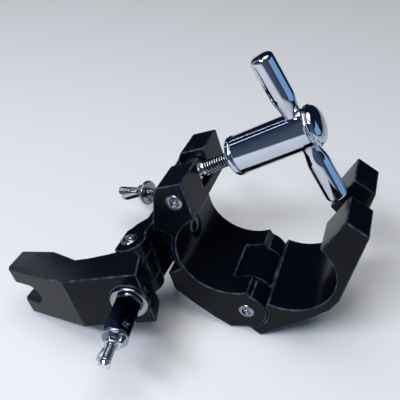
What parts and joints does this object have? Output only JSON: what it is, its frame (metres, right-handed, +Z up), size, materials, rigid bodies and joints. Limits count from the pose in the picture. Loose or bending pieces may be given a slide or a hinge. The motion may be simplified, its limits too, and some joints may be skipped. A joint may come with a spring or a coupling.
{
  "type": "swivel pipe clamp",
  "caption": "Swivel pipe clamp: wide hinged clamp with T-handle swing bolt, joined to a narrow clamp with wing nut, hexagonal post and threaded stud.",
  "frame": {"origin": "on the main tube's axis, at the middle of the clamp's width", "axes": "+Y along the main tube, +Z up as it lies on a table, +X towards the hinged jaw"},
  "size_m": [0.1811, 0.1538, 0.1516],
  "materials": {
    "black_casting": "cast aluminium under a semi-gloss black powder coat",
    "chrome": "polished chrome plate",
    "bright_zinc": "bright zinc-plated steel",
    "black_steel": "black plated steel"
  },
  "bodies": {
    "base": {"main_body": "black_casting", "main_hinge_pin": "bright_zinc", "main_hinge_screws": "bright_zinc", "swing_pin": "bright_zinc", "swing_pin_screws": "bright_zinc", "swivel_washer": "black_steel"},
    "jaw": {"main_jaw": "black_casting"},
    "swing": {"swing_bolt": "bright_zinc"},
    "handle_thrust": {"handle_collar": "chrome"},
    "handle": {"handle_barrel": "chrome", "handle_cap": "chrome", "handle_bar": "chrome"},
    "second": {"swivel_bolt": "black_steel", "swivel_nut": "black_steel", "small_body": "black_casting", "small_hinge_pin": "bright_zinc", "small_hinge_screws": "bright_zinc", "small_swing_pin": "bright_zinc", "small_swing_pin_screws": "bright_zinc"},
    "second_jaw": {"small_jaw": "black_casting", "post_washer": "bright_zinc", "spring_washer": "bright_zinc", "hex_post": "black_steel", "post_screw": "bright_zinc", "stud": "bright_zinc"},
    "second_swing": {"small_swing_bolt": "bright_zinc"},
    "second_thrust": {"small_nut_washer": "chrome"},
    "second_nut": {"small_wing_nut": "chrome"},
    "stud_thrust": {"stud_nut_washer": "chrome"},
    "stud_nut": {"stud_wing_nut": "chrome"}
  },
  "joints": [
    {"name": "jaw_hinge", "type": "hinge", "parent": "base", "child": "jaw", "pos_m": [0.01436, 0, -0.03572], "axis": [0, -1, 0], "range_deg": [0, 48.6]},
    {"name": "swing_pivot", "type": "hinge", "parent": "base", "child": "swing", "pos_m": [-0.02571, 0, 0.02866], "axis": [0, -1, 0], "range_deg": [0, 66]},
    {"name": "handle_travel", "type": "slide", "parent": "swing", "child": "handle_thrust", "axis": [0.831, 0, 0.5563], "range_m": [-0.00701, 0.00001]},
    {"name": "handle_turn", "type": "hinge", "parent": "handle_thrust", "child": "handle", "pos_m": [0.0283, 0, 0.06481], "axis": [0.831, 0, 0.5563], "range_deg": [-2016, 0]},
    {"name": "swivel_turn", "type": "hinge", "parent": "base", "child": "second", "pos_m": [-0.0373, 0, -0.0114], "axis": [-0.9563, 0, -0.2924], "continuous": true},
    {"name": "second_jaw_hinge", "type": "hinge", "parent": "second", "child": "second_jaw", "pos_m": [-0.04571, -0.032, -0.01397], "axis": [0.2924, 0, -0.9563], "range_deg": [0, 64]},
    {"name": "second_swing_pivot", "type": "hinge", "parent": "second", "child": "second_swing", "pos_m": [-0.04571, 0.032, -0.01397], "axis": [0.2924, 0, -0.9563], "range_deg": [0, 38.5]},
    {"name": "second_nut_travel", "type": "slide", "parent": "second_swing", "child": "second_thrust", "axis": [-0.9387, 0.1908, -0.287], "range_m": [-0.00501, 0.00901]},
    {"name": "second_nut_turn", "type": "hinge", "parent": "second_thrust", "child": "second_nut", "pos_m": [-0.07481, 0.03791, -0.02287], "axis": [-0.9387, 0.1908, -0.287], "range_deg": [-1800, 3240]},
    {"name": "stud_nut_travel", "type": "slide", "parent": "second_jaw", "child": "stud_thrust", "axis": [0.1523, -0.9872, 0.0466], "range_m": [-0.00001, 0.00601]},
    {"name": "stud_nut_turn", "type": "hinge", "parent": "stud_thrust", "child": "stud_nut", "pos_m": [-0.03346, -0.0877, -0.01023], "axis": [0.1523, -0.9872, 0.0466], "range_deg": [0, 2160]}
  ],
  "couplings": [
    {"joint": "swing_pivot", "follows": "jaw_hinge", "ratio": 1.35},
    {"joint": "handle_travel", "follows": "handle_turn", "m_per_rad": 0.00019894},
    {"joint": "second_swing_pivot", "follows": "second_jaw_hinge", "ratio": 0.6},
    {"joint": "second_nut_travel", "follows": "second_nut_turn", "m_per_rad": 0.00015915},
    {"joint": "stud_nut_travel", "follows": "stud_nut_turn", "m_per_rad": 0.00015915}
  ]
}
